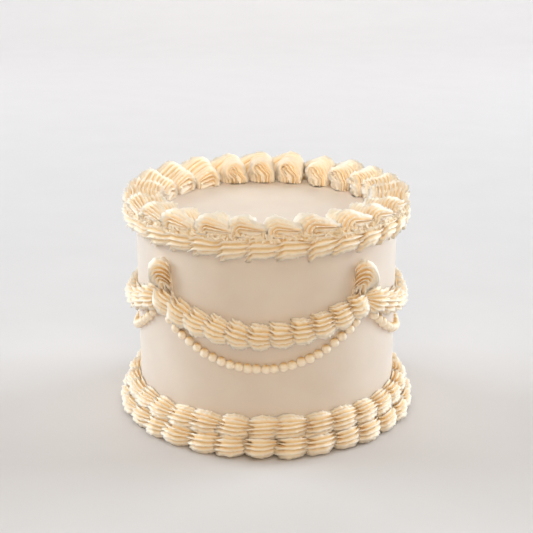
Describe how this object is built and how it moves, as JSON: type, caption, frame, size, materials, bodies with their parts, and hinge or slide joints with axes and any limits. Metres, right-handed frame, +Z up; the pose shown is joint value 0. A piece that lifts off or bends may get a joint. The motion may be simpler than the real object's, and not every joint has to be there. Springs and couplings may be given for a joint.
{
  "type": "piped buttercream cake",
  "caption": "Round layer cake in ivory buttercream with shell borders at foot and top edge, upright scrolls, hanging garlands, bead strings and drops at the knots.",
  "frame": {"origin": "centre of the cake's underside", "axes": "+Z up, the front faces -Y, +X to the right"},
  "size_m": [0.1846, 0.185, 0.1403],
  "materials": {
    "smooth_buttercream": "satin, smoothed with a scraper",
    "piped_buttercream": "satin, ridged by a fine star tip"
  },
  "bodies": {
    "root": {"cake_body": "smooth_buttercream", "bottom_lower_border": "piped_buttercream", "bottom_upper_border": "piped_buttercream", "top_shell_border": "piped_buttercream", "top_scroll_border": "piped_buttercream", "garland_1": "piped_buttercream", "garland_2": "piped_buttercream", "garland_3": "piped_buttercream", "garland_4": "piped_buttercream", "bead_string_1": "piped_buttercream", "bead_string_2": "piped_buttercream", "bead_string_3": "piped_buttercream", "bead_string_4": "piped_buttercream", "drop_1": "piped_buttercream", "drop_2": "piped_buttercream", "drop_3": "piped_buttercream", "drop_4": "piped_buttercream"}
  },
  "joints": []
}
